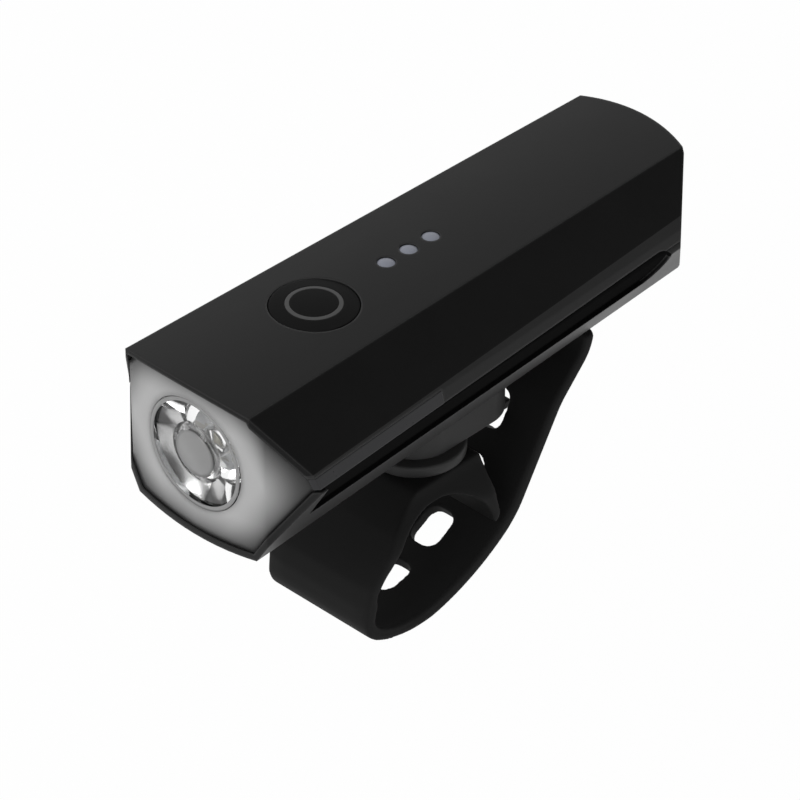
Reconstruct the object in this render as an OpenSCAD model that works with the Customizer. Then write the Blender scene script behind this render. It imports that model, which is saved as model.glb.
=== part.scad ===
// Bicycle front light on a swivel bracket with a rubber bar strap.
// The handlebar's axis is the X axis, the beam points to -Y and Z is up.

/* [Lamp body] */
// Length of the body over its brow and its tail
body_l = 107; // [104:0.5:116]
// Width of the top face at the front
top_w = 27.4; // [26:0.2:29]
// Widest part of the body at the front
waist_w = 44; // [43:0.5:48]
// Width of the floor at the front
floor_w = 26.8; // [26:0.2:29]
// Height of the body at the front
body_h = 28.7; // [28.5:0.1:31]
// Thickness of the shells
wall = 1.8; // [1.6:0.1:2]

/* [Front] */
// Diameter of the round optic
optic_d = 20.2; // [18:0.2:20.6]
// How far the lens sits behind the brow
brow_set = 1.9; // [1.5:0.1:2.4]
// Width of the rim below the lens
chin_w = 1.1; // [0.9:0.1:1.5]
// Width of the rim above the lens
brow_w = 0.9; // [0.8:0.1:1.4]

/* [Controls] */
// Diameter of the power button
button_d = 14.6; // [13:0.2:15]
// Diameter of the three indicators
dot_d = 3; // [2.4:0.1:3.4]
// Spacing of the indicators
dot_pitch = 5.2; // [4.6:0.1:5.6]

/* [Bracket and strap] */
// Radius of the rubber saddle on the bar
bar_r = 13.1; // [12.6:0.1:13.4]
// Width of the strap
strap_w = 23; // [21:0.5:25]
// Thickness of the strap
strap_t = 2.2; // [1.8:0.1:2.4]
// Height of the bracket's turning face above the bar axis
turn_z = 19.1; // [19:0.1:19.6]
// Diameter of the turning disc
disc_d = 17.4; // [16:0.2:19]
// Width of the grey foot under the body
foot_w = 14; // [13:0.5:15]

/* [Hidden] */
$fn = 96;
big = 200;
fit = 0.05;

// Height of the top face, and the front and tail ends of the body
top_z = 56.4;
front_y = -46.4;
tail_y = front_y - 0.5 + body_l;
// All long edges of the body run towards one far point on the top face's level
taper_l = 690;
lean = 0.0475;
seam_rise = 0.0325;
seam_drop = 14.6;
top_crown = 0.8;
floor_crown = 1.1;

// Half cross-section at the front, as [x, height below the top]
ridge = [top_w / 2, 0];
shoulder = [waist_w / 2 - 1, -11.3];
waist = [waist_w / 2, -seam_drop];
sole = [floor_w / 2, -body_h];

// Radii of the crowned top, the crowned floor, the bowed front and the round tail
top_r = ridge.x * ridge.x / (2 * top_crown);
floor_r = sole.x * sole.x / (2 * floor_crown);
front_r = 114;
tail_r = 29;

// Axis of the optic, centres of the controls and the turning axis
optic_z = top_z - 14.3;
optic_r = optic_d / 2;
optic_front = front_y + brow_set;
optic_l = 12;
button_y = front_y + 28.4;
button_r = button_d / 2;
dot_y = front_y + 44.9;
turn_y = 5.3;
crest_z = top_z + top_crown;

// Boards, from the front of the body to its tail
led_y = optic_front + optic_l - 1.1;
led_t = 1.6;
sink_y = led_y + led_t;
sink_t = 3.6;
board_z = top_z - 4.6;
board_t = 1;
board_w = 19.6;
board_y0 = front_y + 24.3;
board_y1 = tail_y - 16.6;
charge_z = top_z - 20.3;
charge_y0 = tail_y - 10.6;
charge_y1 = tail_y - 4.5;
port_z = charge_z + 1 + 1.6;

// Battery cell
cell_over = 10.7;
cell_r = (body_h - cell_over) / 2;
cell_y = board_y0;
cell_room = 17.2;
cell_l = tail_y - cell_room - cell_y;
cell_z = board_z - 0.6 - cell_r;
tab_t = 0.3;

// Screws as [x, y]
case_spots = [for (x = [-1, 1]) each [[11 * x, board_y0 - 3], [9 * x, board_y1 + 3]]];
board_spots = [for (x = [-1, 1]) each [[7.4 * x, board_y0 + 14], [7.4 * x, board_y1 - 13]]];
foot_end = turn_y + 11.7;
foot_spots = [for (x = [-1, 1]) [4.2 * x, foot_end]];
boss_r = 2.4;
screw_r = 1.1;
foot_screw_z = cell_z - cell_r - 0.9;

// Bracket stack, from the turning face down
disc_t = 2.2;
washer_t = 0.45;
disc_z = turn_z - 0.5 - disc_t;
hook_t = 1.2;
hook_z = disc_z - 0.2 - hook_t;
pivot_r = 2.5;
nut_t = 1.2;
nut_r = 4.5;

// Strap path in its side view as [y, z]: the split under the bar, where the strap slopes by split_a,
// the belly and the corner in front of it, then the tail's bends up to its tip
split = [-11.9, -7.95];
split_a = -16;
belly_r = 16;
corner_a = 240;
corner_r = 6;
bend_a = 13;
bend_b = 36;
bend_c = 58.8;
bend_d = 46;
tip_a = 88;
run_a_r = 23;
run_b_r = 43;
run_c_r = 17;
run_d_r = 14;
run_e_r = 8;
straight_l = 15.9;
flat_l = 6.5;
hole_w = 6;
hole_l = 7.4;
hole_pitch = 12.2;
hook_hole = 47.7;

function unit(v) = v / norm(v);

// Outward normal of the long face between two points of the front cross-section
function face_normal(p, q) =
    unit(cross([q.x - p.x, 0, q.y - p.y], [-p.x, taper_l, -p.y]));

// Everything on the side of a point that a normal points to
module beyond(p, n) {
    translate(p)
        rotate([0, acos(n.z), atan2(n.y, n.x)])
            translate([-big, -big, 0])
                cube([2 * big, 2 * big, 2 * big]);
}

// A face and its twin on the other side, moved inwards by t
module beyond_pair(p, n, t) {
    for (side = [0, 1])
        mirror([side, 0, 0])
            beyond(p - t * n, n);
}

// The body's outer form, inset by t, with its front moved back by set and the front's sides by set_side
module form(t = 0, set = 0, set_side = 0) {
    front_n = [0.7056, -0.7086, 0];
    tail_n = unit([8.5, 7.2, 0]);
    difference() {
        intersection() {
            translate([0, front_y - 0.8 + set + front_r, 0])
                cylinder(r = front_r, h = 2 * big, center = true);
            union() {
                translate([0, tail_y - tail_r, 0])
                    cylinder(r = tail_r - t, h = 2 * big, center = true);
                translate([-big, tail_y - tail_r - 2 * big, -big])
                    cube([2 * big, 2 * big, 2 * big]);
            }
            translate([0, 0, crest_z - top_r])
                rotate([90, 0, 0])
                    cylinder(r = top_r - t, h = 2 * big, center = true);
            translate([0, front_y, top_z - body_h - floor_crown + floor_r])
                rotate([90 + atan(lean), 0, 0])
                    cylinder(r = floor_r - t, h = 2 * big, center = true);
        }
        for (pair = [[ridge, shoulder], [shoulder, waist], [waist, sole]])
            beyond_pair([pair[0].x, front_y, top_z + pair[0].y], face_normal(pair[0], pair[1]), t);
        beyond_pair([ridge.x, front_y, 0], front_n, set_side);
        beyond_pair([ridge.x - 2, tail_y - 2.2, 0], tail_n, t);
    }
}

// Height of the floor's edge, and of the seats of the case screws above it
function floor_z(y) = top_z - body_h + lean * (y - front_y);
function seat_z(p) = floor_z(p.y) + 1.6;

// Everything above the seam between the shells, moved up by dz
module above_seam(dz = 0) {
    beyond([0, front_y, top_z - seam_drop + dz], unit([0, -seam_rise, 1]));
}

// A band along the seam from its underside lo to its top hi
module seam_band(lo, hi) {
    difference() {
        above_seam(lo);
        above_seam(hi);
    }
}

module along_y(p) {
    translate(p)
        rotate([-90, 0, 0])
            children();
}

// Block given by its lowest and highest corners
module block(a, b) {
    translate(a)
        cube(b - a);
}

module pan_screw(r, l, head_r, head_t) {
    difference() {
        union() {
            cylinder(r = head_r, h = head_t);
            translate([0, 0, -l])
                cylinder(r = r, h = l);
        }
        for (a = [0, 90])
            rotate(a)
                translate([-head_r * 0.6, -0.25, head_t * 0.45])
                    cube([head_r * 1.2, 0.5, head_t]);
    }
}

// Inside of the shells, open through the front of the body
module hollow(t = wall) {
    form(t, -20, -20);
}

// Recess for the lens inside a rim of width t, with its seat behind the lens
lens_t = 2;
module lens_recess(t) {
    difference() {
        hollow(t);
        form(-2, brow_set + lens_t + fit, brow_set - 1.4 + lens_t + fit);
    }
}

// Strip along the seam from the front back to y1, t deep, with its skin moved out by skin
module side_strip_zone(y1, t, lo, hi, skin = 0) {
    intersection() {
        difference() {
            form(-skin, -skin, -skin);
            form(t, -20, -20);
        }
        seam_band(lo, hi);
        block([-big, front_y - 2, 0], [big, y1, big]);
    }
}

// Groove along the parting line, from behind the chin to a round end near the tail
groove_from = 9.4;
groove_l = body_l - 16.8;
groove_lo = -7.2;
groove_hi = 0.6;
groove_d = 0.8;

// Rebate for the gasket along the inner edge of the case, behind the groove
gasket_in = groove_d + 0.3;
module gasket_zone(t0, t1, lo, hi, y0) {
    intersection() {
        difference() {
            form(t0);
            form(t1);
        }
        seam_band(lo, hi);
        block([-big, front_y + y0, 0], [big, big, big]);
    }
}

// Side windows, thinner than the rim that they run through at the front
window_y1 = front_y + 37;
window_h = 2.7;
window_t = brow_w - 0.1;

// Flat pocket in the tail wall for the charging flap
flap_w = 14;
flap_h = 8;
flap_y = tail_y - 2.4;
flap_z0 = port_z - flap_h / 2;

module flap_pocket() {
    block([-flap_w / 2 - 0.2, flap_y - 0.1, flap_z0 - 0.1],
        [flap_w / 2 + 0.2, big, flap_z0 + flap_h + 0.45]);
}

module top_cover() {
    color("#2c2c2e")
        difference() {
            union() {
                difference() {
                    form(0);
                    hollow();
                    lens_recess(brow_w);
                }
                intersection() {
                    hollow(wall - 0.2);
                    union() {
                        for (p = case_spots)
                            translate([p.x, p.y, 0])
                                cylinder(r = boss_r, h = big);
                        for (p = board_spots)
                            translate([p.x, p.y, board_z + board_t])
                                cylinder(r = 2, h = 20);
                    }
                }
            }
            difference() {
                block([-big, -big, -big], [big, big, big]);
                above_seam();
            }
            translate([0, button_y, board_z + board_t])
                cylinder(r = button_r + 0.2, h = 20);
            translate([0, button_y, crest_z - wall - 4])
                cylinder(r = button_r + 1.4, h = 4);
            for (i = [0:2])
                translate([0, dot_y + i * dot_pitch, board_z + board_t])
                    cylinder(r = dot_d / 2 + fit, h = 20);
            for (p = case_spots)
                translate([p.x, p.y, 0])
                    cylinder(r = screw_r + 0.02, h = top_z - 4.5);
            for (p = board_spots)
                translate([p.x, p.y, 0])
                    cylinder(r = 0.82, h = board_z + board_t + 2);
            side_strip_zone(window_y1 + fit, window_t + 0.15, -1, window_h + fit, 1);
            groove();
        }
}

module groove() {
    intersection() {
        difference() {
            form(-2, -2, -2);
            form(groove_d, -20, -20);
        }
        translate([0, front_y, top_z - seam_drop])
            rotate([atan(seam_rise), 0, 0])
                union() {
                    block([-big, groove_from, groove_lo], [big, groove_l, groove_hi]);
                    translate([-big, groove_l, (groove_lo + groove_hi) / 2])
                        rotate([0, 90, 0])
                            cylinder(r = (groove_hi - groove_lo) / 2, h = 2 * big);
                }
    }
}

module bottom_case() {
    color("#343436")
        difference() {
            union() {
                difference() {
                    form(0, 1.6, 0.1);
                    hollow();
                    lens_recess(chin_w);
                }
                intersection() {
                    hollow(wall - 0.2);
                    union() {
                        for (p = case_spots)
                            translate([p.x, p.y, 0])
                                cylinder(r = boss_r, h = big);
                        for (p = foot_spots)
                            translate([p.x, p.y, 0])
                                cylinder(r = 2.4, h = foot_screw_z);
                        for (x = [-5, 5])
                            translate([x, (charge_y0 + charge_y1) / 2, 0])
                                cylinder(r = 1.4, h = charge_z);
                        block([-flap_w / 2 - 1.5, flap_y - 2, 0],
                            [flap_w / 2 + 1.5, tail_y, flap_z0 + flap_h + 1.2]);
                    }
                }
            }
            above_seam(-0.1);
            groove();
            gasket_zone(gasket_in, wall + 0.2, -0.9, 0.1, 10.5);
            for (p = case_spots)
                translate([p.x, p.y, 0]) {
                    cylinder(r = screw_r + fit, h = big);
                    cylinder(r = 2.1, h = seat_z(p));
                }
            for (p = foot_spots)
                translate([p.x, p.y, 0])
                    cylinder(r = 0.92, h = big);
            flap_pocket();
            block([-4.6, charge_y1 - 6, port_z - 1.7], [4.6, big, port_z + 1.7]);
        }
}

module front_lens() {
    color("#c9cbce")
        difference() {
            union() {
                difference() {
                    form(chin_w + 0.1, brow_set, brow_set - 1.4);
                    form(-1, brow_set + lens_t, brow_set - 1.4 + lens_t);
                }
                intersection() {
                    difference() {
                        form(brow_w + 0.1, brow_set, brow_set - 1.4);
                        form(-1, brow_set + lens_t, brow_set - 1.4 + lens_t);
                    }
                    above_seam();
                }
            }
            along_y([0, -big, optic_z])
                cylinder(r = optic_r + 0.1, h = 2 * big);
        }
}

module side_windows() {
    color("#3a3a3d")
        side_strip_zone(window_y1, window_t, groove_hi, window_h);
}

module lens_seal() {
    color("#1b1b1c")
        along_y([0, optic_front + 1.75, optic_z])
            difference() {
                cylinder(r = optic_r + 0.9, h = 0.7);
                translate([0, 0, -1])
                    cylinder(r = optic_r + 0.05, h = 4);
            }
}

// Radius of the optic's cone at a depth behind its front
function cone_r(d) = 5.4 + (optic_r - 5.4) * (optic_l - 1.2 - d) / (optic_l - 3.4);

// Flat face in the middle of the optic, a little proud of its rim
face_r = 4.3;
face_rise = 0.5;

module tir_optic() {
    color("#dfe5ea", 0.6)
        along_y([0, optic_front, optic_z])
            rotate_extrude()
                polygon([[0, -face_rise], [face_r - 0.3, -face_rise], [face_r, 0.3 - face_rise],
                    [face_r, 0.8], [face_r + 0.7, 0.8], [face_r + 1.1, 0], [optic_r, 0], [optic_r, 2.2],
                    [5.4, optic_l - 1.2], [2.9, optic_l - 1.2], [2.6, optic_l - 5], [0, optic_l - 5.6]]);
}

module optic_holder() {
    set = 2.45;
    l = led_y - optic_front - set;
    lip = 0.2;
    color("#1d1d1e")
        along_y([0, optic_front + set, optic_z])
            rotate_extrude()
                polygon([[optic_r + 0.1, 0], [optic_r + 0.9, 0], [optic_r + 0.9, l],
                    [cone_r(l + set) + lip, l], [cone_r(l + set - 1) + lip, l - 1],
                    [optic_r + 0.1, l - 1]]);
}

module led_emitter() {
    color("#e8d36a")
        union() {
            block([-1.75, led_y - 0.8, optic_z - 1.75], [1.75, led_y, optic_z + 1.75]);
            intersection() {
                translate([0, led_y - 0.8, optic_z])
                    sphere(r = 1.5);
                block([-3, led_y - 4, optic_z - 3], [3, led_y - 0.8, optic_z + 3]);
            }
        }
}

module led_board() {
    color("#d8dadc")
        along_y([0, led_y, optic_z])
            cylinder(r = optic_r, h = led_t);
}

module heat_sink() {
    color("#a9adb1")
        intersection() {
            form(wall + fit, 5, 5);
            difference() {
                union() {
                    block([-15, sink_y, 0], [15, sink_y + sink_t - 1.6, board_z]);
                    for (x = [-12:4:12])
                        block([x - 0.8, sink_y, cell_z - 9],
                            [x + 0.8, sink_y + sink_t - 0.4, board_z - 1]);
                }
                for (p = case_spots)
                    translate([p.x, p.y, 0])
                        cylinder(r = boss_r + 0.2, h = big);
            }
        }
}

lead_r = 0.45;

// Lead laid through a list of points, with rounded corners
module lead(points) {
    for (i = [0:len(points) - 2]) {
        v = points[i + 1] - points[i];
        translate(points[i])
            rotate([0, acos(v.z / norm(v)), atan2(v.y, v.x)])
                cylinder(r = lead_r, h = norm(v), $fn = 24);
        translate(points[i + 1])
            sphere(r = lead_r, $fn = 24);
    }
}

module led_leads() {
    top = board_z + board_t + lead_r;
    y = led_y + led_t / 2;
    rim = sqrt(pow(optic_r, 2) - pow(3 - lead_r, 2)) + 0.02;
    color("#b03030")
        for (x = [-3, 3])
            lead([[x, y, optic_z + rim], [x, y, top], [x, board_y0 + 2, top]]);
}

module main_board() {
    color("#1f5a3a")
        difference() {
            block([-board_w / 2, board_y0, board_z], [board_w / 2, board_y1, board_z + board_t]);
            for (p = board_spots)
                translate([p.x, p.y, 0])
                    cylinder(r = 0.85, h = big);
        }
}

switch_w = 4.6;
switch_t = 1.6;
plunger_r = 1.1;
plunger_up = 0.9;

module tact_switch() {
    color("#c8c8c8")
        difference() {
            translate([-switch_w / 2, button_y - switch_w / 2, board_z + board_t])
                cube([switch_w, switch_w, switch_t]);
            translate([0, button_y, board_z + board_t + 0.2])
                cylinder(r = plunger_r + fit, h = 5);
        }
}

plunger_top = board_z + board_t + switch_t + plunger_up;

module switch_plunger() {
    color("#1c1c1c")
        translate([0, button_y, plunger_top - plunger_up - 0.6])
            cylinder(r = plunger_r, h = plunger_up + 0.6);
}

ring_r = 4.7;
ring_w = 0.7;
cap_top = crest_z + 0.5;
flange_z = crest_z - wall - 0.7;

module button_cap() {
    color("#1f1f20")
        translate([0, button_y, 0])
            difference() {
                union() {
                    intersection() {
                        translate([0, 0, flange_z])
                            cylinder(r = button_r, h = 10);
                        translate([0, 0, cap_top - 40])
                            sphere(r = 40, $fn = 180);
                    }
                    translate([0, 0, flange_z])
                        cylinder(r = button_r + 1, h = 0.6);
                }
                difference() {
                    translate([0, 0, flange_z - 1])
                        cylinder(r = button_r - 0.9, h = cap_top - 1.2 - flange_z + 1);
                    translate([0, 0, plunger_top + 0.04])
                        cylinder(r = 1.6, h = 10);
                }
                translate([0, 0, cap_top - 0.8])
                    difference() {
                        cylinder(r = ring_r + 0.02, h = 5);
                        translate([0, 0, -1])
                            cylinder(r = ring_r - ring_w - 0.02, h = 7);
                    }
            }
}

module button_ring() {
    color("#8b8c90")
        translate([0, button_y, 0])
            intersection() {
                translate([0, 0, cap_top - 0.8])
                    difference() {
                        cylinder(r = ring_r, h = 5);
                        translate([0, 0, -1])
                            cylinder(r = ring_r - ring_w, h = 7);
                    }
                translate([0, 0, cap_top - 40])
                    sphere(r = 40, $fn = 180);
            }
}

pipe_z = board_z + board_t + 0.75;

module indicator_pipes() {
    color("#8d8f98")
        for (i = [0:2])
            translate([0, dot_y + i * dot_pitch, 0])
                intersection() {
                    translate([0, 0, pipe_z])
                        cylinder(r = dot_d / 2, h = 20);
                    translate([0, 0, crest_z + 0.15 - 3])
                        sphere(r = 3);
                }
}

module indicator_leds() {
    color("#f0eed8")
        for (i = [0:2])
            translate([-0.8, dot_y + i * dot_pitch - 0.4, board_z + board_t])
                cube([1.6, 0.8, 0.6]);
}

module board_screws() {
    color("#9a9a9c")
        for (p = board_spots)
            translate([p.x, p.y, board_z])
                mirror([0, 0, 1])
                    pan_screw(0.8, 2.8, 1.6, 1);
}

module battery_cell() {
    color("#3c6ea5")
        along_y([0, cell_y, cell_z])
            union() {
                cylinder(r = cell_r, h = cell_l - 0.6);
                cylinder(r = 4, h = cell_l);
            }
}

module battery_tabs() {
    tail = cell_y + cell_l;
    color("#c9c6bc")
        union() {
            block([-3, cell_y - tab_t, cell_z - 3], [3, cell_y, board_z]);
            block([-3, tail, cell_z - 3], [3, tail + tab_t, board_z]);
        }
}

module battery_cradle() {
    color("#2b2b2d")
        difference() {
            intersection() {
                form(wall + fit, 5, 5);
                union() {
                    for (y = [cell_y + 8, (foot_end + cell_y + cell_l) / 2 - 1])
                        block([-11, y, 0], [11, y + 6, cell_z - 4]);
                }
            }
            along_y([0, cell_y - 5, cell_z])
                cylinder(r = cell_r + fit, h = cell_l + 10);
        }
}

module cell_pad() {
    color("#5b5b5e")
        difference() {
            block([-6, cell_y + 18, board_z - 3], [6, cell_y + cell_l - 17, board_z]);
            along_y([0, cell_y, cell_z])
                cylinder(r = cell_r + fit, h = cell_l);
        }
}

module charge_board() {
    color("#1f5a3a")
        block([-7, charge_y0, charge_z], [7, charge_y1, charge_z + 1]);
}

module usb_socket() {
    y1 = flap_y - 1;
    y0 = charge_y0 + 0.6;
    color("#c4c6c8")
        difference() {
            union() {
                for (x = [-2.9, 2.9])
                    along_y([x, y0, port_z])
                        cylinder(r = 1.6, h = y1 - y0);
                block([-2.9, y0, port_z - 1.6], [2.9, y1, port_z + 1.6]);
            }
            difference() {
                union() {
                    for (x = [-2.9, 2.9])
                        along_y([x, y0 + 1, port_z])
                            cylinder(r = 1.3, h = y1);
                    block([-2.9, y0 + 1, port_z - 1.3], [2.9, y1 + 2, port_z + 1.3]);
                }
                block([-2.6, y0, port_z - 0.35], [2.6, y1 - 0.8, port_z + 0.35]);
            }
        }
}

module charge_leads() {
    top = board_z + board_t + lead_r;
    color("#b03030")
        for (x = [-3, 3])
            lead([[x, charge_y0 + 0.5 - lead_r, charge_z + 1], [x, charge_y0 + 0.5 - lead_r, top],
                [x, board_y1 - 2, top]]);
}

module usb_flap() {
    color("#1a1a1b")
        intersection() {
            form(0);
            union() {
                block([-flap_w / 2, flap_y, flap_z0], [flap_w / 2, big, flap_z0 + flap_h]);
                block([-3.6, flap_y - 0.9, port_z - 0.8], [3.6, flap_y + 1, port_z + 0.8]);
            }
        }
}

module case_gasket() {
    color("#151516")
        gasket_zone(gasket_in + fit, wall - fit, -0.85, -0.05, 10.6);
}

module case_screws() {
    color("#8c8c8e")
        for (p = case_spots)
            translate([p.x, p.y, seat_z(p)])
                mirror([0, 0, 1])
                    pan_screw(screw_r, 17, 2, 1.3);
}

module foot_outline(r) {
    translate([0, turn_y])
        circle(r = r);
    translate([0, foot_end])
        circle(r = r);
    translate([-r, turn_y])
        square([2 * r, foot_end - turn_y]);
}

module swivel_head() {
    color("#4b4b4e")
        difference() {
            translate([0, 0, turn_z])
                linear_extrude(14)
                    foot_outline(foot_w / 2);
            form(0);
            translate([0, turn_y, 0]) {
                cylinder(r = pivot_r + fit, h = big);
                translate([0, 0, turn_z + 3])
                    cylinder(r = 4.6, h = big);
                cylinder(r = 6.1, h = turn_z + 0.05);
            }
            for (p = foot_spots)
                translate([p.x, p.y, turn_z + 2])
                    cylinder(r = 0.92, h = big);
        }
}

module head_screws() {
    color("#8c8c8e")
        for (p = foot_spots)
            translate([p.x, p.y, foot_screw_z])
                pan_screw(0.9, 9, 1.7, 1);
}

module friction_washer() {
    color("#d9d4c6")
        translate([0, turn_y, disc_z + disc_t])
            difference() {
                cylinder(r = 6, h = washer_t);
                translate([0, 0, -1])
                    cylinder(r = pivot_r + fit, h = 5);
            }
}

module swivel_base() {
    color("#474749")
        translate([0, turn_y, disc_z])
            difference() {
                cylinder(r = disc_d / 2, h = disc_t);
                translate([0, 0, -1])
                    cylinder(r = pivot_r + 0.02, h = 9);
            }
}

module pivot_screw() {
    head_z = turn_z + 3.15;
    color("#7c7d80")
        translate([0, turn_y, 0])
            difference() {
                union() {
                    translate([0, 0, head_z])
                        cylinder(r = 4.2, h = 1.8);
                    translate([0, 0, hook_z - nut_t])
                        cylinder(r = pivot_r, h = head_z - hook_z + nut_t);
                }
                translate([0, 0, head_z + 0.7])
                    cylinder(r = 1.8, h = 5, $fn = 6);
            }
}

module pivot_nut() {
    color("#8c8c8e")
        translate([0, turn_y, hook_z - nut_t])
            difference() {
                cylinder(r = nut_r, h = nut_t, $fn = 6);
                translate([0, 0, -1])
                    cylinder(r = pivot_r + 0.02, h = 9);
            }
}

// Points along an arc in the strap's side view
function arc(c, r, a0, a1, n) = [for (i = [0:n]) c + r * along(a0 + (a1 - a0) * i / n)];

// Direction along the strap and across it, towards its inner face, at a slope
function along(a) = [cos(a), sin(a)];
function inward(a) = [-sin(a), cos(a)];

// Centres of the bends, each tangent to the stretch before it
belly_c = split + belly_r * inward(split_a);
corner_c = belly_c + (belly_r - corner_r) * along(corner_a);
run_a_c = split + run_a_r * inward(split_a);
run_b_c = run_a_c + (run_b_r - run_a_r) * inward(bend_a);
run_c_c = run_b_c + (run_c_r - run_b_r) * inward(bend_b);
run_c_end = run_c_c - run_c_r * inward(bend_c);
straight_end = run_c_end + straight_l * along(bend_c);
run_d_c = straight_end - run_d_r * inward(bend_c);
flat_end = run_d_c + run_d_r * inward(bend_d) + flat_l * along(bend_d);
run_e_c = flat_end + run_e_r * inward(bend_d);

// One face of the tail, d inside the outer face
function tail_face(d) = concat(
    arc(run_a_c, run_a_r - d, split_a - 90, bend_a - 90, 10),
    arc(run_b_c, run_b_r - d, bend_a - 90, bend_b - 90, 10),
    arc(run_c_c, run_c_r - d, bend_b - 90, bend_c - 90, 10),
    arc(run_d_c, run_d_r + d, bend_c + 90, bend_d + 90, 6),
    arc(run_e_c, run_e_r - d, bend_d - 90, tip_a - 90, 6));

// Lengths of the outer face up to the end of each bend
len_a = run_a_r * (bend_a - split_a) * PI / 180;
len_b = len_a + run_b_r * (bend_b - bend_a) * PI / 180;
len_c = len_b + run_c_r * (bend_c - bend_b) * PI / 180;

// Slope and place of the outer face at a length from the split
function slope_at(s) = s < len_a ? split_a + (bend_a - split_a) * s / len_a
    : s < len_b ? bend_a + (bend_b - bend_a) * (s - len_a) / (len_b - len_a)
    : s < len_c ? bend_b + (bend_c - bend_b) * (s - len_b) / (len_c - len_b)
    : bend_c;
function place_at(s) = s < len_a ? run_a_c - run_a_r * inward(slope_at(s))
    : s < len_b ? run_b_c - run_b_r * inward(slope_at(s))
    : s < len_c ? run_c_c - run_c_r * inward(slope_at(s))
    : run_c_end + (s - len_c) * along(bend_c);

// Side view outline made into a solid across the strap's width
module across(w) {
    rotate([90, 0, 90])
        linear_extrude(w, center = true)
            children();
}

module strap_hole(w, l, r) {
    for (x = [-1, 1])
        for (y = [-1, 1])
            translate([x * (w / 2 - r), y * (l / 2 - r), -10])
                cylinder(r = r, h = 20, $fn = 32);
    translate([-w / 2, r - l / 2, -10])
        cube([w, l - 2 * r, 20]);
    translate([r - w / 2, -l / 2, -10])
        cube([w - 2 * r, l, 20]);
}

hole_row = [for (i = [-3:0]) hook_hole + i * hole_pitch];

module strap_tail() {
    outer = tail_face(0);
    inner = tail_face(strap_t);
    color("#1d1d1e")
        difference() {
            across(strap_w)
                polygon(concat(outer, [for (i = [len(inner) - 1:-1:0]) inner[i]]));
            for (s = hole_row)
                translate([0, place_at(s).x, place_at(s).y])
                    rotate([slope_at(s), 0, 0])
                        strap_hole(hole_w, hole_l, 2.2);
        }
}

hook_w = 3.2;
hook_rim = place_at(hook_hole + hole_l / 2);
hook_tip = hook_rim - [0.8, 1.4];

module hook_shape(gap) {
    block([-5.5 - gap, turn_y - 6.5 - gap, hook_z - gap], [5.5 + gap, turn_y + 4.5 + gap, disc_z + gap]);
    across(hook_w + 2 * gap)
        polygon([[turn_y, hook_z - gap], [turn_y + nut_r + 0.5, hook_z - gap],
            [hook_tip.x - 0.8, hook_tip.y - 1.6 - gap], hook_tip - [0, 0.9],
            hook_tip, [hook_tip.x - 0.4, hook_tip.y + gap], [turn_y, hook_z + hook_t + gap]]);
}

module hook_plate() {
    color("#171718")
        difference() {
            hook_shape(0);
            translate([0, turn_y, 0])
                cylinder(r = pivot_r + 0.02, h = big);
        }
}

// Pad of the saddle that carries the rear of the disc
pad_w = disc_d - 1.4;

module strap_saddle() {
    nose = corner_c.x - corner_r;
    outer = concat(arc(belly_c, belly_r, split_a + 270, corner_a, 4),
        arc(corner_c, corner_r, corner_a, 180, 12),
        [[nose, 1.4], [nose + 1.1, 4.7], [-10.3, 11.7], [-3.5, disc_z]]);
    rear = [[8.6, disc_z], [9.5, 14.4], [11.4, 9.8], [13.9, 4.4], [15, 2.7], [14.6, 2], [13.5, 1.8]];
    inner = concat([[-0.83 * bar_r, 0.55 * bar_r], [-13.8, 5.4], [nose + strap_t + 0.5, 2.8]],
        arc(corner_c, corner_r - strap_t, 180, corner_a, 12),
        arc(belly_c, belly_r - strap_t, corner_a, split_a + 270, 4));
    color("#202021")
        difference() {
            union() {
                across(strap_w)
                    polygon(concat(outer, rear, inner));
                block([-pad_w / 2, 0, 8], [pad_w / 2, turn_y + 6.9, disc_z]);
            }
            intersection() {
                rotate([0, 90, 0])
                    cylinder(r = bar_r, h = 2 * strap_w, center = true);
                block([-big, -big, 0], [big, big, big]);
            }
            hook_shape(fit);
            translate([0, turn_y, hook_z - nut_t - fit])
                cylinder(r = nut_r + fit, h = nut_t + 5, $fn = 6);
        }
}

top_cover();
bottom_case();
front_lens();
side_windows();
lens_seal();
tir_optic();
optic_holder();
led_emitter();
led_board();
heat_sink();
led_leads();
main_board();
tact_switch();
switch_plunger();
button_cap();
button_ring();
indicator_pipes();
indicator_leds();
board_screws();
battery_cell();
battery_tabs();
battery_cradle();
cell_pad();
charge_board();
usb_socket();
charge_leads();
usb_flap();
case_gasket();
case_screws();
swivel_head();
head_screws();
friction_washer();
swivel_base();
pivot_screw();
pivot_nut();
hook_plate();
strap_saddle();
strap_tail();
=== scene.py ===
import math

import bmesh
import bpy
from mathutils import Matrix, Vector


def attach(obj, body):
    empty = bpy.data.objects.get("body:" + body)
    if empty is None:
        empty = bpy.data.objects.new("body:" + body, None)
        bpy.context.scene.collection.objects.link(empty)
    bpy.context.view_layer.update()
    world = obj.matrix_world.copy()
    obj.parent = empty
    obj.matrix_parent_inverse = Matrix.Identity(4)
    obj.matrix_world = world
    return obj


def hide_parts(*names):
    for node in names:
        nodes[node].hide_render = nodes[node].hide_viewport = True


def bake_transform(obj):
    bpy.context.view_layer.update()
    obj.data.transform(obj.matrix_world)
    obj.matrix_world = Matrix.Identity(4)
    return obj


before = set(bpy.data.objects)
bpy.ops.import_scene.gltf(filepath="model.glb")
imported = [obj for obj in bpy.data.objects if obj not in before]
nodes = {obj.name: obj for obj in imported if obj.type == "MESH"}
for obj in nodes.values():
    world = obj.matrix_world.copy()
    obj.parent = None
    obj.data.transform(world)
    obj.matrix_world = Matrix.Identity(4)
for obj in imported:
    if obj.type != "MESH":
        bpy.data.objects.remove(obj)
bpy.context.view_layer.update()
mm = 0.001
print("frame:", len(nodes), "nodes")


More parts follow.
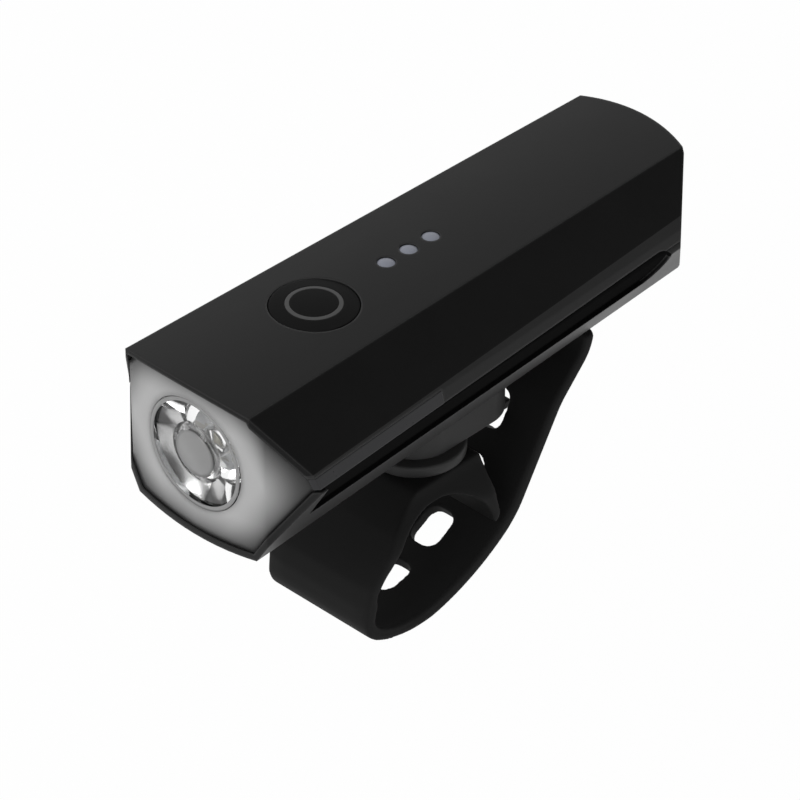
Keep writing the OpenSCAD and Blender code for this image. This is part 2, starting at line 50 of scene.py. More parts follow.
class Wire:  # a socket of one finish, with maths
    def __init__(self, finish, socket):
        self.finish = finish
        self.socket = socket

    def maths(self, operation, first, second):
        return self.finish.node("Math", {"operation": operation}, {0: first, 1: second})

    def __add__(self, other):
        return self.maths("ADD", self, other)

    def __radd__(self, other):
        return self.maths("ADD", other, self)

    def __sub__(self, other):
        return self.maths("SUBTRACT", self, other)

    def __rsub__(self, other):
        return self.maths("SUBTRACT", other, self)

    def __mul__(self, other):
        return self.maths("MULTIPLY", self, other)

    def __rmul__(self, other):
        return self.maths("MULTIPLY", other, self)

    def __pow__(self, other):
        return self.maths("POWER", self, other)

    def atLeast(self, limit):
        return self.maths("MAXIMUM", self, limit)

    def below(self, limit):
        return self.maths("LESS_THAN", self, limit)

    def upTo(self, limit):
        return self.maths("MINIMUM", self, limit)

    def above(self, limit):
        return self.maths("GREATER_THAN", self, limit)


class Finish:  # one procedural material
    def __init__(self, name):
        self.material = bpy.data.materials.new(name)
        self.material.use_nodes = True
        self.tree = self.material.node_tree
        self.tree.nodes.clear()
        self.surface = self.tree.nodes.new("ShaderNodeBsdfPrincipled")
        self.output = self.tree.nodes.new("ShaderNodeOutputMaterial")
        self.tree.links.new(self.surface.outputs[0], self.output.inputs[0])

    def put(self, socket, value):
        if isinstance(value, Wire):
            self.tree.links.new(value.socket, socket)
        else:
            socket.default_value = value

    def node(self, kind, settings=None, sockets=None, out=0):
        made = self.tree.nodes.new("ShaderNode" + kind)
        for key, value in (settings or {}).items():
            setattr(made, key, value)
        for key, value in (sockets or {}).items():
            self.put(made.inputs[key], value)
        return Wire(self, made.outputs[out])

    def mix(self, amount, first, second):
        return self.node("Mix", {"data_type": "RGBA"}, {0: amount, 6: first, 7: second}, 2)

    def noise(self, place, scale, detail=2.0):
        return self.node("TexNoise", {}, {"Vector": place, "Scale": scale, "Detail": detail})

    def shade(self, values):
        for key, value in values.items():
            self.put(self.surface.inputs[key], value)
        return self.material


def tone(red, green=None, blue=None):  # screen levels to a linear colour
    levels = [red, red if green is None else green, red if blue is None else blue]
    return (*[((c / 255 + 0.055) / 1.055) ** 2.4 if c > 10 else c / 3294.6 for c in levels], 1)


# the side grooves: their place, and the tones of the flat finish painted in them as their shade
groove = {"front": -46.4, "seam": 41.8, "rise": 0.0325, "from": 9.4, "length": 90.2, "middle": -3.3,
          "half": 3.9, "slack": 0.02, "dark": tone(26), "light": tone(29)}
# the band of painted sheen round each side panel's lower rear corner: its shape and tones
frameSheen = {"corner": 99.5, "cornerHeight": 8.0, "back": 4.4, "down": 4.6, "lean": 0.5, "facing": 0.3,
             "dark": tone(47), "light": tone(51)}


def onSide(paint, place):  # mm behind the front, and mm above the seam
    run = paint.node("SeparateXYZ", {}, {"Vector": place}, "Y") * (1 / mm) - groove["front"]
    level = paint.node("SeparateXYZ", {}, {"Vector": place}, "Z") * (1 / mm)
    return run, level - groove["seam"] - run * groove["rise"]


def frameSheenMask(paint, place):  # painted sheen: 1 on the strip below and behind each side panel, which is painted paler there in place of its sheen
    run, high = onSide(paint, place)
    facing = paint.node("NewGeometry", {}, {}, "True Normal")
    across = paint.node("SeparateXYZ", {}, {"Vector": facing}, "X")
    past = (run - frameSheen["corner"]).atLeast(0.0) * (1 / frameSheen["back"])
    drop = (frameSheen["cornerHeight"] - high).atLeast(0.0) * (1 / frameSheen["down"])
    lean = (high - frameSheen["cornerHeight"]).atLeast(0.0) * frameSheen["lean"]
    return (past * past + drop * drop).above(1 + lean) * (across * across).above(frameSheen["facing"])


def grooveShadeMask(paint, place):  # 1 inside the side grooves, where a flat dark finish is painted as their shade
    run, high = onSide(paint, place)
    past = (run - groove["length"]).atLeast(0.0)
    lift = high - groove["middle"]
    reach = (past * past + lift * lift) ** 0.5
    return reach.below(groove["half"] + groove["slack"]) * run.above(groove["from"])


def moulded(name, look):  # moulded plastic or rubber: cloudy tone, fine grain, and a painted highlight along the edges
    paint = Finish(name)
    place = paint.node("TexCoord", {}, {}, "Object")
    cloud = paint.noise(place, 90, 3)
    speck = paint.noise(place, look["grain"], 2)
    smooth = paint.node("Bevel", {"samples": 6}, {"Radius": look["edge"] * mm})
    flat = paint.node("NewGeometry", {}, {}, "True Normal")
    along = paint.node("VectorMath", {"operation": "DOT_PRODUCT"}, {0: smooth, 1: flat}, "Value")
    # painted highlight: where the Bevel normal parts from the true normal, the edge is painted paler as its
    # glint
    edgeGlint = ((1 - along) * 5).upTo(1) * look["glint"]
    body = paint.mix(cloud, look["dark"], look["light"])
    # painted sheen on the strip below and behind the side panel
    if look.get("frame"):
        sheenTone = paint.mix(cloud, frameSheen["dark"], frameSheen["light"])
        body = paint.mix(frameSheenMask(paint, place), body, sheenTone)
    bump = paint.node("Bump", {}, {"Strength": look["bump"], "Distance": 0.05 * mm, "Height": speck,
                                   "Normal": smooth})
    paint.shade({
        "Base Color": paint.mix(edgeGlint, body, look["glintTone"]),
        "Roughness": look["rough"] + (cloud - 0.5) * 0.08 - edgeGlint * 0.1,
        "Specular IOR Level": look["gloss"],
        "Normal": bump,
    })
    # painted shade: inside the grooves the plastic is swapped for a flat, non-glossy dark finish
    if look.get("groove"):
        grooveShadeTone = paint.mix(cloud, groove["dark"], groove["light"])
        shadedGroove = paint.node("BsdfPrincipled", {}, {"Base Color": grooveShadeTone, "Roughness": 0.9,
                                                 "Specular IOR Level": 0.0, "Normal": bump})
        plain = Wire(paint, paint.surface.outputs[0])
        both = paint.node("MixShader", {}, {0: grooveShadeMask(paint, place), 1: plain, 2: shadedGroove})
        paint.put(paint.output.inputs[0], both)
    return paint.material


def metal(name, look):  # bare or plated metal with fine brushed lines
    paint = Finish(name)
    place = paint.node("TexCoord", {}, {}, "Object")
    drawn = paint.node("VectorMath", {"operation": "MULTIPLY"}, {0: place, 1: look["brush"]})
    lines = paint.noise(drawn, 900, 3)
    stain = paint.noise(place, 220, 3)
    return paint.shade({
        "Base Color": paint.mix(stain, look["dark"], look["light"]),
        "Metallic": 1.0,
        "Roughness": look["rough"] + (lines - 0.5) * 0.2,
        "Normal": paint.node("Bump", {}, {"Strength": 0.2, "Distance": 0.02 * mm, "Height": lines}),
    })


def board(name, look):  # circuit board: mask over faint copper runs
    paint = Finish(name)
    place = paint.node("TexCoord", {}, {}, "Object")
    square = {"distance": "CHEBYCHEV", "feature": "F1"}
    runs = paint.node("TexVoronoi", square, {"Vector": place, "Scale": 420})
    copper = runs.above(0.55)
    cloud = paint.noise(place, 300)
    mask = paint.mix(cloud, look["dark"], look["light"])
    return paint.shade({
        "Base Color": paint.mix(copper * 0.5, mask, look["run"]),
        "Roughness": 0.35 + copper * 0.1,
        "Normal": paint.node("Bump", {}, {"Strength": 0.3, "Distance": 0.04 * mm, "Height": copper}),
    })


def rimShade(paint, place, look):  # 1 at the outline of a frosted window, falling to 0 further in
    across = paint.node("SeparateXYZ", {}, {"Vector": place}, "X") * (1 / mm)
    high = paint.node("SeparateXYZ", {}, {"Vector": place}, "Z") * (1 / mm)
    side = (across * across) ** 0.5
    light = 1.0
    for (x, z), (nextX, nextZ) in zip(look["outline"], look["outline"][1:]):
        edge = math.hypot(nextX - x, nextZ - z) * look["fade"]
        depth = (side - x) * ((z - nextZ) / edge) + (high - z) * ((nextX - x) / edge)
        light = light * (1 - (1 - depth).atLeast(0.0) ** look["curve"])
    return 1 - light


def milky(name, look):  # frosted clear plastic
    paint = Finish(name)
    place = paint.node("TexCoord", {}, {}, "Object")
    haze = paint.noise(place, 120, 2)
    frost = paint.noise(place, look["grain"], 2)
    smooth = paint.node("Bevel", {"samples": 6}, {"Radius": look["edge"] * mm})
    body = paint.mix(haze, look["dark"], look["light"])
    if "outline" in look:
        body = paint.mix(rimShade(paint, place, look), body, look["rim"])
    return paint.shade({
        "Base Color": body,
        "Roughness": look["rough"] + (frost - 0.5) * 0.12,
        "Specular IOR Level": look["gloss"],
        "Transmission Weight": look["clear"],
        "IOR": 1.49,
        "Normal": paint.node("Bump", {}, {"Strength": look["bump"], "Distance": 0.03 * mm, "Height": frost,
                                          "Normal": smooth}),
    })


def sleeve(name):  # shrink film with faint wrinkles round the cell
    paint = Finish(name)
    place = paint.node("TexCoord", {}, {}, "Object")
    pulled = paint.node("VectorMath", {"operation": "MULTIPLY"}, {0: place, 1: (1.0, 0.2, 1.0)})
    fold = paint.noise(pulled, 500, 3)
    return paint.shade({
        "Base Color": paint.mix(fold, tone(34, 62, 118), tone(52, 88, 150)),
        "Roughness": 0.22 + fold * 0.15,
        "Normal": paint.node("Bump", {}, {"Strength": 0.25, "Distance": 0.06 * mm, "Height": fold}),
    })


# glint and glintTone set the painted edge highlight of each look
coverLook = {"dark": tone(20), "light": tone(23), "glintTone": tone(96), "glint": 0.35, "edge": 0.6, "grain": 3200,
             "bump": 0.16, "rough": 0.42, "gloss": 0.10, "groove": True, "frame": True}
caseLook = dict(coverLook, dark=tone(27), light=tone(31), glintTone=tone(84), rough=0.38, gloss=0.15,
                frame=False)
bracketLook = {"dark": tone(62), "light": tone(67), "glintTone": tone(110), "glint": 0.35, "edge": 0.4,
               "grain": 3200, "bump": 0.16, "rough": 0.5, "gloss": 0.12}
hookLook = dict(bracketLook, dark=tone(20), light=tone(25), glintTone=tone(70), rough=0.4, gloss=0.1)
rubberLook = {"dark": tone(31), "light": tone(35), "glintTone": tone(70), "glint": 0.4, "edge": 0.5, "grain": 2200,
              "bump": 0.25, "rough": 0.66, "gloss": 0.08}
strapLook = dict(rubberLook, glint=0.0, edge=0.05)
buttonLook = dict(rubberLook, dark=tone(17), light=tone(20), glintTone=tone(40), rough=0.6, gloss=0.04)
ringLook = dict(rubberLook, dark=tone(76), light=tone(84), glintTone=tone(110), rough=0.5, edge=0.1)
pipeLook = {"dark": tone(128, 131, 142), "light": tone(140, 143, 154), "grain": 2500, "edge": 0.1,
            "bump": 0.1, "rough": 0.4, "gloss": 0.3, "clear": 0.0}
windowLook = {"dark": tone(40, 40, 42), "light": tone(48, 48, 50), "grain": 2600, "edge": 0.3, "bump": 0.12,
              "rough": 0.3, "gloss": 0.26, "clear": 0.0}
lensLook = dict(windowLook, dark=tone(190), light=tone(198), edge=2.5, rough=0.34, gloss=0.35, clear=0.1,
                rim=tone(40), fade=6.0, curve=1.5,
                outline=[(0, 27.6), (12.57, 28.78), (20.67, 42.1), (19.87, 44.79), (13.08, 55.46),
                         (0, 56.3)])
opticLook = {"dark": tone(250), "light": tone(255), "grain": 700, "edge": 0.08, "bump": 0.05, "rough": 0.03,
             "gloss": 0.5, "clear": 1.0}
frostLook = {"dark": tone(142), "light": tone(150), "grain": 2600, "edge": 0.1, "bump": 0.1, "rough": 0.3,
             "gloss": 0.5, "clear": 0.0}
innerLook = dict(bracketLook, dark=tone(40), light=tone(46), glintTone=tone(80))
foamLook = dict(rubberLook, dark=tone(84), light=tone(98), rough=0.9, bump=0.8, grain=1600)
nylonLook = dict(bracketLook, dark=tone(196), light=tone(208), glintTone=tone(220), rough=0.4)
wireLook = dict(rubberLook, dark=tone(140, 26, 26), light=tone(168, 36, 34), glintTone=tone(190, 60, 60),
                rough=0.4)
ledLook = dict(pipeLook, dark=tone(226, 222, 204), light=tone(236, 233, 218))
steelLook = {"dark": tone(128), "light": tone(158), "rough": 0.32, "brush": (1.0, 1.0, 0.15)}
silverLook = {"dark": tone(214), "light": tone(236), "rough": 0.16, "brush": (1.0, 0.1, 1.0)}
sinkLook = {"dark": tone(150), "light": tone(172), "rough": 0.42, "brush": (0.15, 1.0, 1.0)}
tabLook = {"dark": tone(170, 166, 156), "light": tone(192, 188, 178), "rough": 0.3, "brush": (1.0, 1.0, 0.2)}
greenLook = {"dark": tone(24, 82, 52), "light": tone(30, 98, 62), "run": tone(66, 140, 92)}
whiteLook = {"dark": tone(206, 208, 210), "light": tone(220, 222, 224), "run": tone(176, 170, 150)}

cover = moulded("coverPlastic", coverLook)
case = moulded("casePlastic", caseLook)
bracket = moulded("bracketPlastic", bracketLook)
hook = moulded("hookPlastic", hookLook)
rubber = moulded("blackRubber", rubberLook)
strapRubber = moulded("strapRubber", strapLook)
buttonRubber = moulded("buttonRubber", buttonLook)
ring = moulded("ringPaint", ringLook)
inner = moulded("innerPlastic", innerLook)
foam = moulded("padFoam", foamLook)
nylon = moulded("washerNylon", nylonLook)
wire = moulded("wireRed", wireLook)
pipe = milky("pipePlastic", pipeLook)
lens = milky("lensPlastic", lensLook)
window = milky("windowPlastic", windowLook)
optic = milky("opticClear", opticLook)
led = milky("ledPackage", ledLook)
steel = metal("screwSteel", steelLook)
sink = metal("sinkAluminium", sinkLook)
silver = metal("holderSilver", silverLook)
tab = metal("tabNickel", tabLook)
green = board("boardGreen", greenLook)
white = board("boardWhite", whiteLook)
film = sleeve("cellSleeve")

finishes = {
    "top_cover": cover, "bottom_case": case, "front_lens": lens, "side_windows": window, "lens_seal": rubber,
    "tir_optic": optic, "optic_holder": silver, "led_emitter": led, "led_board": white, "heat_sink": sink,
    "led_leads": wire, "main_board": green, "tact_switch": inner, "switch_plunger": nylon,
    "button_cap": buttonRubber, "button_ring": ring, "indicator_pipes": pipe, "indicator_leds": led,
    "board_screws": steel, "battery_cell": film, "battery_tabs": tab, "battery_cradle": inner,
    "cell_pad": foam, "charge_board": green, "usb_socket": tab, "charge_leads": wire, "usb_flap": rubber,
    "case_screws": steel, "swivel_head": bracket, "head_screws": steel, "swivel_base": bracket,
    "friction_washer": nylon, "pivot_screw": steel, "pivot_nut": steel, "hook_plate": hook,
    "case_gasket": inner, "strap_saddle": inner, "strap_tail": inner,
}
for name, obj in nodes.items():
    obj.data.materials.clear()
    obj.data.materials.append(finishes[name])
print("finishes:", len(bpy.data.materials))


def soften(name, width, angle=30):  # rounded moulding edges on a CAD node
    obj = nodes[name]
    weld = obj.modifiers.new("weld", "WELD")
    weld.merge_threshold = 0.001 * mm
    planar = obj.modifiers.new("planar", "DECIMATE")
    planar.decimate_type = "DISSOLVE"
    planar.angle_limit = math.radians(0.3)
    bevel = obj.modifiers.new("soft", "BEVEL")
    bevel.width = width * mm
    bevel.segments = 3
    bevel.limit_method = "ANGLE"
    bevel.angle_limit = math.radians(angle)
    bevel.use_clamp_overlap = False
    bevel.harden_normals = True


for name, width in {"swivel_base": 0.4, "hook_plate": 0.2}.items():
    soften(name, width)
print("edges softened")

strap = {
    "width": 23.0, "thick": 2.2, "edge": 0.5, "bar": 13.1, "split": (-11.9, -7.95), "splitSlope": -16.0,
    "belly": 16.0, "corner": 6.0, "cornerSlope": -30.0,
    "tail": [(23.0, 13.0), (43.0, 36.0), (17.0, 58.8), (None, 15.9), (-14.0, 46.0), (None, 6.5),
             (8.0, 88.0)],
    "holes": [11.1, 23.3, 35.5, 47.7], "holeWidth": 6.0, "holeLength": 7.4, "holeCorner": 2.2,
    "holeCut": (-4.0, 6.0), "tipCorner": 1.0, "trimBelow": -3.0, "bendFrom": 0.3, "bendTo": 10.0,
    "discHeight": 16.4, "spare": 4.0, "voxel": 0.3, "bandPasses": 5, "saddlePasses": 12,
    "swell": 0.3, "swellOver": 10.0,
}


def along(slope):
    return Vector((math.cos(math.radians(slope)), math.sin(math.radians(slope))))


def inward(slope):
    return Vector((-math.sin(math.radians(slope)), math.cos(math.radians(slope))))


def follow(spot, slope, bends, step):  # [(point, slope)]; bends are (radius, end slope) or (None, length)
    chain = [(spot, slope)]
    for radius, target in bends:
        if radius is None:
            count = max(2, round(target / step))
            chain += [(spot + along(slope) * target * i / count, slope) for i in range(1, count + 1)]
        else:
            centre = spot + inward(slope) * radius
            count = max(2, round(abs(radius * math.radians(target - slope)) / step))
            turns = [slope + (target - slope) * i / count for i in range(1, count + 1)]
            chain += [(centre - inward(turn) * radius, turn) for turn in turns]
        spot, slope = chain[-1]
    return chain


def section(width, thick, edge, count):  # rounded bar section as (across, depth)
    points = []
    for x, d, start in ((1, 1, 0), (-1, 1, 90), (-1, -1, 180), (1, -1, 270)):
        for i in range(count + 1):
            turn = math.radians(start + 90 * i / count)
            points.append((x * (width / 2 - edge) + edge * math.cos(turn),
                           thick / 2 + d * (thick / 2 - edge) + edge * math.sin(turn)))
    return points


def meshObject(name, bm, material):
    bmesh.ops.recalc_face_normals(bm, faces=bm.faces)
    data = bpy.data.meshes.new(name)
    bm.to_mesh(data)
    bm.free()
    obj = bpy.data.objects.new(name, data)
    bpy.context.scene.collection.objects.link(obj)
    data.materials.append(material)
    data.shade_smooth()
    return obj


def baked(obj):  # modifiers made into the mesh
    graph = bpy.context.evaluated_depsgraph_get()
    data = bpy.data.meshes.new_from_object(obj.evaluated_get(graph))
    obj.modifiers.clear()
    obj.data = data


def joined(obj, other, operation):  # boolean with another object, which goes
    change = obj.modifiers.new("change", "BOOLEAN")
    change.operation = operation
    change.solver = "EXACT"
    change.object = other
    baked(obj)
    bpy.data.objects.remove(other)


def mellowed(obj, passes):  # one even skin with soft edges, as moulded rubber
    skin = obj.modifiers.new("skin", "REMESH")
    skin.mode = "VOXEL"
    skin.voxel_size = strap["voxel"] * mm
    calm = obj.modifiers.new("calm", "SMOOTH")
    calm.factor = 0.5
    calm.iterations = passes
    baked(obj)
    obj.data.shade_smooth()


def trimmed(obj, keep):  # cut flat at the split; keep is 1 for the tail's side, -1 for the saddle's
    flex = along(strap["splitSlope"])
    bm = bmesh.new()
    bm.from_mesh(obj.data)
    low = [f for f in bm.faces if f.calc_center_median().z < strap["trimBelow"] * mm]
    near = low + list({e for f in low for e in f.edges}) + list({v for f in low for v in f.verts})
    bmesh.ops.bisect_plane(bm, geom=near, dist=0.00001 * mm, plane_co=Vector((0, *strap["split"])) * mm,
                           plane_no=Vector((0, *flex)))
    gone = [f for f in bm.faces if f.calc_center_median().z < strap["trimBelow"] * mm and keep *
            (Vector(f.calc_center_median().yz) / mm - Vector(strap["split"])).dot(flex) < 0]
    bmesh.ops.delete(bm, geom=gone, context="FACES")
    rim = [e for e in bm.edges if e.is_boundary]
    bmesh.ops.holes_fill(bm, edges=rim, sides=0)
    for edge in rim:
        edge.smooth = False
    bm.to_mesh(obj.data)
    bm.free()
    obj.data.shade_smooth()


def prism(outline, width, bm):  # side view outline in (y, z) mm made into a solid across X
    sides = [[bm.verts.new(Vector((x, y, z)) * mm) for y, z in outline] for x in (-width / 2, width / 2)]
    bm.faces.new(sides[0])
    bm.faces.new(sides[1])
    for i in range(len(outline)):
        j = (i + 1) % len(outline)
        bm.faces.new((sides[0][i], sides[0][j], sides[1][j], sides[1][i]))


def rounded(corners, count=4):  # [(y, z, radius)] to points with the corners made into arcs
    points = []
    for i, (y, z, radius) in enumerate(corners):
        here = Vector((y, z))
        if not radius:
            points.append(here)
            continue
        back = (Vector(corners[i - 1][:2]) - here).normalized()
        ahead = (Vector(corners[(i + 1) % len(corners)][:2]) - here).normalized()
        half = back.angle(ahead) / 2
        reach = radius / math.tan(half)
        centre = here + (back + ahead).normalized() * radius / math.sin(half)
        first = (here + back * reach - centre).normalized()
        last = (here + ahead * reach - centre).normalized()
        points += [centre + first.slerp(last, k / count) * radius for k in range(count + 1)]
    return points


# the tail: a swept band with its holes, from the split to the tip
split = Vector(strap["split"])
start = split - along(strap["splitSlope"]) * strap["spare"]
sweep = follow(start, strap["splitSlope"], [(None, strap["spare"])] + strap["tail"], 0.5)
total = sum((b[0] - a[0]).length for a, b in zip(sweep, sweep[1:]))
bm = bmesh.new()
rows = []
travelled = 0.0
for i, (spot, slope) in enumerate(sweep):
    travelled += (spot - sweep[i - 1][0]).length if i else 0.0
    lack = max(0.0, strap["tipCorner"] - (total - travelled))  # the tip's corners are round in plan
    kept = math.sqrt(max(0.0, strap["tipCorner"] ** 2 - lack ** 2))
    width = strap["width"] - 2 * (strap["tipCorner"] - kept)
    past = max(0, travelled - strap["spare"])
    swell = strap["swell"] * min(1, past / strap["swellOver"])  # makes up for the smoothing
    rows.append([bm.verts.new(Vector((x, *(spot + inward(slope) * (d - swell)))) * mm)
                 for x, d in section(width, strap["thick"] + swell, strap["edge"], 4)])
for first, second in zip(rows, rows[1:]):
    for i in range(len(first)):
        j = (i + 1) % len(first)
        bm.faces.new((first[i], first[j], second[j], second[i]))
bm.faces.new(rows[0])
bm.faces.new(rows[-1])
band = meshObject("strapBand", bm, strapRubber)
bm = bmesh.new()
travelled = -strap["spare"]
for (spot, slope), (nextSpot, nextSlope) in zip(sweep, sweep[1:]):
    length = (nextSpot - spot).length
    for hole in strap["holes"]:
        if travelled <= hole < travelled + length:
            middle = spot + along(slope) * (hole - travelled)
            half = (strap["holeWidth"] / 2, strap["holeLength"] / 2)
            outline = rounded([(x * half[0], s * half[1], strap["holeCorner"])
                               for x, s in ((-1, -1), (1, -1), (1, 1), (-1, 1))], 5)
            ends = []
            for depth in strap["holeCut"]:
                base = middle + inward(slope) * depth
                ends.append([bm.verts.new(Vector((p.x, *(base + along(slope) * p.y))) * mm) for p in outline])
            bm.faces.new(ends[0])
            bm.faces.new(ends[1])
            for i in range(len(outline)):
                j = (i + 1) % len(outline)
                bm.faces.new((ends[0][i], ends[0][j], ends[1][j], ends[1][i]))
    travelled += length
joined(band, meshObject("strapCutter", bm, strapRubber), "DIFFERENCE")
mellowed(band, strap["bandPasses"])
trimmed(band, 1)
print("strap band:", len(band.data.polygons), "faces")

# the saddle over the bar, with the nose and the belly down to the split
bellyCentre = split + inward(strap["splitSlope"]) * strap["belly"]
cornerCentre = bellyCentre - inward(strap["cornerSlope"]) * (strap["belly"] - strap["corner"])
nose = cornerCentre + Vector((-strap["corner"], 0))
front = follow(nose, -90.0, [(strap["corner"], strap["cornerSlope"]), (strap["belly"], strap["splitSlope"]),
                             (None, strap["spare"])], 0.7)
outer = [spot for spot, slope in front]
insideFace = [spot + inward(slope) * strap["thick"] for spot, slope in front]
arch = [strap["bar"] * along(a) for a in range(12, 147, 3)]
height = strap["discHeight"]
outline = rounded([(nose.x, nose.y, 0), (nose.x, 1.4, 2.0), (nose.x + 1.1, 4.7, 2.0), (-10.3, 11.7, 4.0),
                   (-3.5, height, 3.0), (12.1, height, 0.8), (12.6, 11.5, 6.0), (13.4, 7.5, 6.0),
                   (14.3, 4.2, 1.0), (13.9, 2.7, 0.6), (12.9, 2.5, 0.2)])[1:]
outline += arch + rounded([(-10.9, 7.2, 0), (-13.8, 5.4, 1.5), (nose.x + strap["thick"] + 0.5, 2.8, 1.5),
                           (nose.x + strap["thick"], nose.y, 0)])[1:-1]
outline += insideFace + outer[::-1]
bm = bmesh.new()
prism(outline, strap["width"], bm)
rim = [e for e in bm.edges if abs(e.verts[0].co.x - e.verts[1].co.x) < 0.01 * mm]
bmesh.ops.bevel(bm, geom=rim, offset=strap["edge"] * mm, segments=3, profile=0.5, affect="EDGES",
                clamp_overlap=False)
saddle = meshObject("strapSaddle", bm, strapRubber)
mellowed(saddle, strap["saddlePasses"])
draft = {"from": 8.5, "drawIn": 0.24, "noseBehind": -9, "noseOver": 5, "noseLow": -5, "noseRise": 6,
         "noseRound": 0.5, "flatHalf": 7.5, "flank": 4}


def share(value, start, over):
    return min(1, max(0, (value - start) / over))


for vert in saddle.data.vertices:  # the flanks draw in towards the disc, and the nose is round in plan
    x, y, z = vert.co / mm
    rise = share(z, draft["from"], height - draft["from"])
    fore = share(-y, -draft["noseBehind"], draft["noseOver"]) * share(z, draft["noseLow"], draft["noseRise"])
    vert.co.x *= 1 - draft["drawIn"] * rise * rise * (3 - 2 * rise)
    vert.co.y += draft["noseRound"] * fore * (max(0, abs(x) - draft["flatHalf"]) / draft["flank"]) ** 2 * mm
trimmed(saddle, -1)
print("saddle:", len(saddle.data.polygons), "faces")

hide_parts("strap_tail")
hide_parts("strap_saddle")
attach(saddle, "mount")
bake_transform(band)
print("strap joined")

# frosted skins on the optic's front: its raised centre and its flange
skin = {"front": -45.0, "height": 42.1, "thick": 0.06, "gap": 0.02, "sides": 72, "rings": 6}
frost = milky("opticFrosted", frostLook)
for name, inside, outside in (("opticCap", 0.0, 4.15), ("opticFlange", 9.3, 10.05)):
    bm = bmesh.new()
    turns = [math.tau * k / skin["sides"] for k in range(skin["sides"])]
    radii = [inside + (outside - inside) * i / skin["rings"] for i in range(skin["rings"] + 1)]
    loops = [(radius, skin["front"] - skin["thick"]) for radius in radii if radius]
    loops.append((outside, skin["front"] - skin["gap"]))
    if inside:
        loops.append((inside, skin["front"] - skin["gap"]))
    rows = [[bm.verts.new(Vector((radius * math.cos(a), depth, skin["height"] + radius * math.sin(a))) * mm)
             for a in turns] for radius, depth in loops]
    for first, second in zip(rows, rows[1:] + rows[:1] if inside else rows[1:]):
        for k in range(skin["sides"]):
            j = (k + 1) % skin["sides"]
            bm.faces.new((first[k], second[k], second[j], first[j]))
    if not inside:
        bm.faces.new(rows[0])
        bm.faces.new(rows[-1])
    frosted = meshObject(name, bm, frost)
    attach(frosted, "lamp")
print("optic skins made")

stage = {"floorHeight": -0.08, "floorSize": 4.0, "shadow": 0.02, "worldDim": 0.6,
         "cardToward": (0.76, 0.584, 0), "cardDistance": 0.3, "cardSize": (0.5, 0.3), "cardFoot": 0.085}
bm = bmesh.new()
bmesh.ops.create_grid(bm, x_segments=2, y_segments=2, size=stage["floorSize"] / 2)
ground = Finish("studioFloor")
rays = ground.node("LightPath", {}, {}, "Is Camera Ray")
rays = (rays + ground.node("LightPath", {}, {}, "Is Glossy Ray")
        + ground.node("LightPath", {}, {}, "Is Transmission Ray")).upTo(1)
paper = ground.noise(ground.node("TexCoord", {}, {}, "Object"), 40)
ground.shade({"Base Color": ground.mix(paper, tone(236), tone(240)), "Roughness": 0.9,
              "Specular IOR Level": 0.0})
glow = ground.node("Emission", {}, {"Color": (1, 1, 1, 1), "Strength": 1.0})
sheet = Wire(ground, ground.surface.outputs[0])
mixed = ground.node("MixShader", {}, {0: rays * (1 - stage["shadow"]), 1: sheet, 2: glow})
ground.tree.links.new(mixed.socket, ground.output.inputs[0])
floor = meshObject("studioFloorSheet", bm, ground.material)
floor.location.z = stage["floorHeight"]

black = Finish("studioCard")  # a dark card beside the lamp, which its side panel mirrors
felt = black.noise(black.node("TexCoord", {}, {}, "Object"), 60)
black.shade({"Base Color": black.mix(felt, tone(8), tone(12)), "Roughness": 1.0, "Specular IOR Level": 0.0})
bm = bmesh.new()
bmesh.ops.create_grid(bm, x_segments=2, y_segments=2, size=0.5)
card = meshObject("studioCardSheet", bm, black.material)
toward = Vector(stage["cardToward"]).normalized()
card.scale = (stage["cardSize"][0], stage["cardSize"][1], 1)
card.location = toward * stage["cardDistance"] + Vector((0, 0, stage["cardFoot"] + stage["cardSize"][1] / 2))
card.rotation_euler = toward.to_track_quat("Z", "Y").to_euler()
card.visible_camera = False

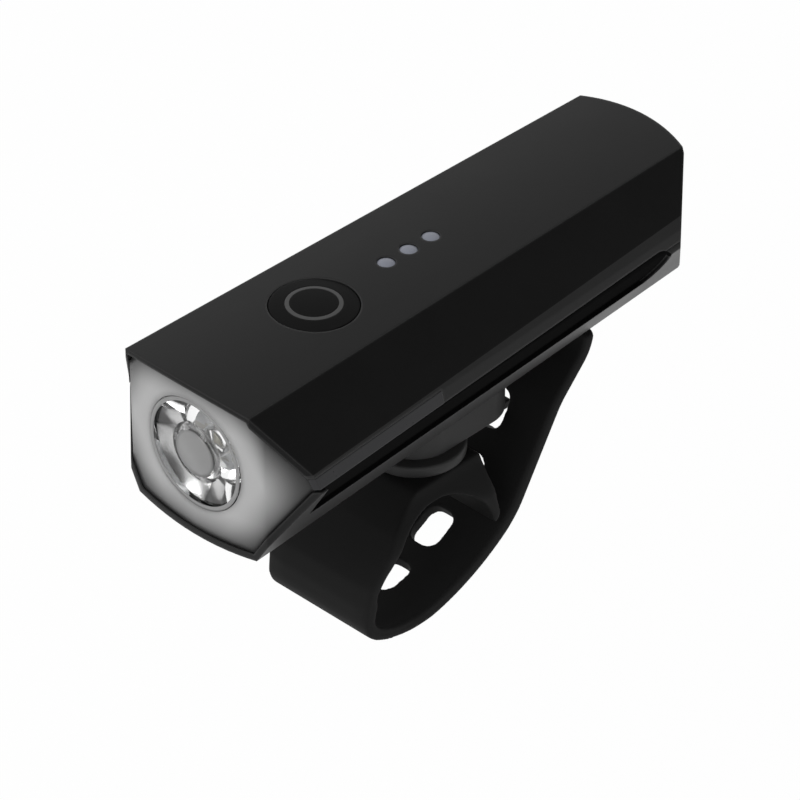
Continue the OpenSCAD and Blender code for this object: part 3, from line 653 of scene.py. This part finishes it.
world = bpy.data.worlds.new("studio")
bpy.context.scene.world = world
world.use_nodes = True
sky = world.node_tree
sky.nodes.clear()
path = sky.nodes.new("ShaderNodeLightPath")
seen = sky.nodes.new("ShaderNodeMath")
seen.operation = "MAXIMUM"
sky.links.new(path.outputs["Is Camera Ray"], seen.inputs[0])
sky.links.new(path.outputs["Is Glossy Ray"], seen.inputs[1])
seenThrough = sky.nodes.new("ShaderNodeMath")
seenThrough.operation = "MAXIMUM"
sky.links.new(seen.outputs[0], seenThrough.inputs[0])
sky.links.new(path.outputs["Is Transmission Ray"], seenThrough.inputs[1])
dim = sky.nodes.new("ShaderNodeBackground")
dim.inputs["Color"].default_value = (1, 1, 1, 1)
dim.inputs["Strength"].default_value = stage["worldDim"]
bright = sky.nodes.new("ShaderNodeBackground")
bright.inputs["Color"].default_value = (1, 1, 1, 1)
bright.inputs["Strength"].default_value = 1.0
both = sky.nodes.new("ShaderNodeMixShader")
sky.links.new(seenThrough.outputs[0], both.inputs[0])
sky.links.new(dim.outputs[0], both.inputs[1])
sky.links.new(bright.outputs[0], both.inputs[2])
skyOut = sky.nodes.new("ShaderNodeOutputWorld")
sky.links.new(both.outputs[0], skyOut.inputs[0])

aim = Vector((1.40, 0.26, 29.54)) * mm
lamps = [
    {"name": "backSoftbox", "toward": (-0.60, 0.55, 0.62), "distance": 0.8, "size": 0.6, "power": 0.15},
    {"name": "frontSoftbox", "toward": (0.05, -0.70, 0.65), "distance": 0.8, "size": 0.4, "power": 1.7},
]
for lamp in lamps:
    light = bpy.data.lights.new(lamp["name"], "AREA")
    light.shape = "DISK"
    light.size = lamp["size"]
    light.energy = lamp["power"]
    made = bpy.data.objects.new(lamp["name"], light)
    bpy.context.scene.collection.objects.link(made)
    toward = Vector(lamp["toward"]).normalized()
    made.location = aim + toward * lamp["distance"]
    made.rotation_euler = toward.to_track_quat("Z", "Y").to_euler()
print("studio: floor, world and", len(lamps), "lamps")

view = {"azimuth": 43.786, "elevation": 35.944, "distance": 0.8204, "lens": 225.0}
camera = bpy.data.cameras.new("photoView")
camera.lens = view["lens"]
camera.sensor_width = 36.0
camera.clip_start = 0.01
eye = bpy.data.objects.new("photoView", camera)
bpy.context.scene.collection.objects.link(eye)
turn = math.radians(view["azimuth"])
rise = math.radians(view["elevation"])
back = Vector((math.sin(turn) * math.cos(rise), -math.cos(turn) * math.cos(rise), math.sin(rise)))
eye.location = aim + back * view["distance"]
eye.rotation_euler = back.to_track_quat("Z", "Y").to_euler()
bpy.context.scene.camera = eye
bpy.context.scene.view_settings.view_transform = "Standard"
print("camera set")
